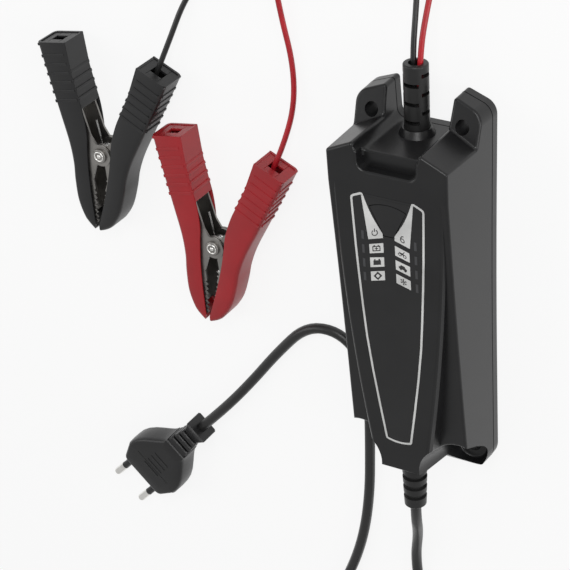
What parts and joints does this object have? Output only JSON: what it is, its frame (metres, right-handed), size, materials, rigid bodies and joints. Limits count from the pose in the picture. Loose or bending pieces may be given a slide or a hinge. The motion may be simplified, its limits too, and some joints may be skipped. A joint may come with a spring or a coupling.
{
  "type": "car battery charger",
  "caption": "Slim automatic car battery charger in a black plastic housing with screw ears, a fascia with a mode key, clamp leads in black and red and a flat mains plug.",
  "frame": {"origin": "middle of the housing's back face, which lies on the floor", "axes": "+Z out of the fascia, +Y along the housing from the mains end to the output end, +X to the right"},
  "size_m": [0.2304, 0.5397, 0.0457],
  "materials": {
    "case_black": "satin",
    "fascia": "satin",
    "key_grey": "satin",
    "light_guide": "gloss",
    "seal_rubber": "matte",
    "screw_steel": "satin",
    "sleeve_black": "satin",
    "cord_black": "satin",
    "lead_black": "satin",
    "lead_red": "satin",
    "plug_black": "satin",
    "pin_plating": "gloss",
    "cover_black": "satin",
    "cover_red": "satin",
    "jaw_steel": "satin",
    "spring_steel": "satin",
    "circuit_board": "satin",
    "ribbon": "satin",
    "ferrite": "matte",
    "winding_tape": "satin",
    "capacitor_sleeve": "satin",
    "fuse_ceramic": "satin",
    "component_black": "satin",
    "sink_aluminium": "satin",
    "led_white": "gloss"
  },
  "bodies": {
    "charger": {"front_shell": "case_black", "rear_cover": "case_black", "case_seal": "seal_rubber", "case_screws": "screw_steel", "fascia_film": "fascia", "light_bars": "light_guide", "output_strain_relief": "sleeve_black", "mains_strain_relief": "sleeve_black", "mains_cord": "cord_black", "mains_coil": "cord_black", "plug_cord": "cord_black", "black_lead": "lead_black", "black_coil": "lead_black", "black_clip_lead": "lead_black", "red_lead": "lead_red", "red_coil": "lead_red", "red_clip_lead": "lead_red", "plug_body": "plug_black", "plug_pins": "pin_plating", "pin_sleeves": "plug_black", "black_lead_cover": "cover_black", "black_lead_jaw": "jaw_steel", "black_rivet": "jaw_steel", "black_spring": "spring_steel", "red_lead_cover": "cover_red", "red_lead_jaw": "jaw_steel", "red_rivet": "jaw_steel", "red_spring": "spring_steel", "main_board": "circuit_board", "display_board": "circuit_board", "board_screws": "screw_steel", "display_screws": "screw_steel", "board_link": "ribbon", "transformer_core": "ferrite", "transformer_winding": "winding_tape", "input_capacitor": "capacitor_sleeve", "output_capacitors": "capacitor_sleeve", "line_choke": "ferrite", "fuse": "fuse_ceramic", "bridge_rectifier": "component_black", "heat_sink": "sink_aluminium", "power_transistor": "component_black", "display_leds": "led_white", "switch_body": "component_black"},
    "mode_key": {"mode_button": "key_grey", "switch_plunger": "component_black"},
    "black_free_half": {"black_free_cover": "cover_black", "black_free_jaw": "jaw_steel"},
    "red_free_half": {"red_free_cover": "cover_red", "red_free_jaw": "jaw_steel"}
  },
  "joints": [
    {"name": "mode_press", "type": "slide", "parent": "charger", "child": "mode_key", "axis": [0, 0, -1], "range_m": [0, 0.0008], "stiffness_N_per_m": 2500, "springref_m": -0.0002},
    {"name": "black_clip_hinge", "type": "hinge", "parent": "charger", "child": "black_free_half", "pos_m": [-0.172, 0.028, 0.0075], "axis": [0, 0, -1], "range_deg": [0, 32], "stiffness_Nm_per_rad": 1.2, "springref_deg": -34.38, "deforming": ["black_spring"]},
    {"name": "red_clip_hinge", "type": "hinge", "parent": "charger", "child": "red_free_half", "pos_m": [-0.112, -0.008, 0.0075], "axis": [0, 0, -1], "range_deg": [0, 32], "stiffness_Nm_per_rad": 1.2, "springref_deg": -34.38, "deforming": ["red_spring"]}
  ]
}
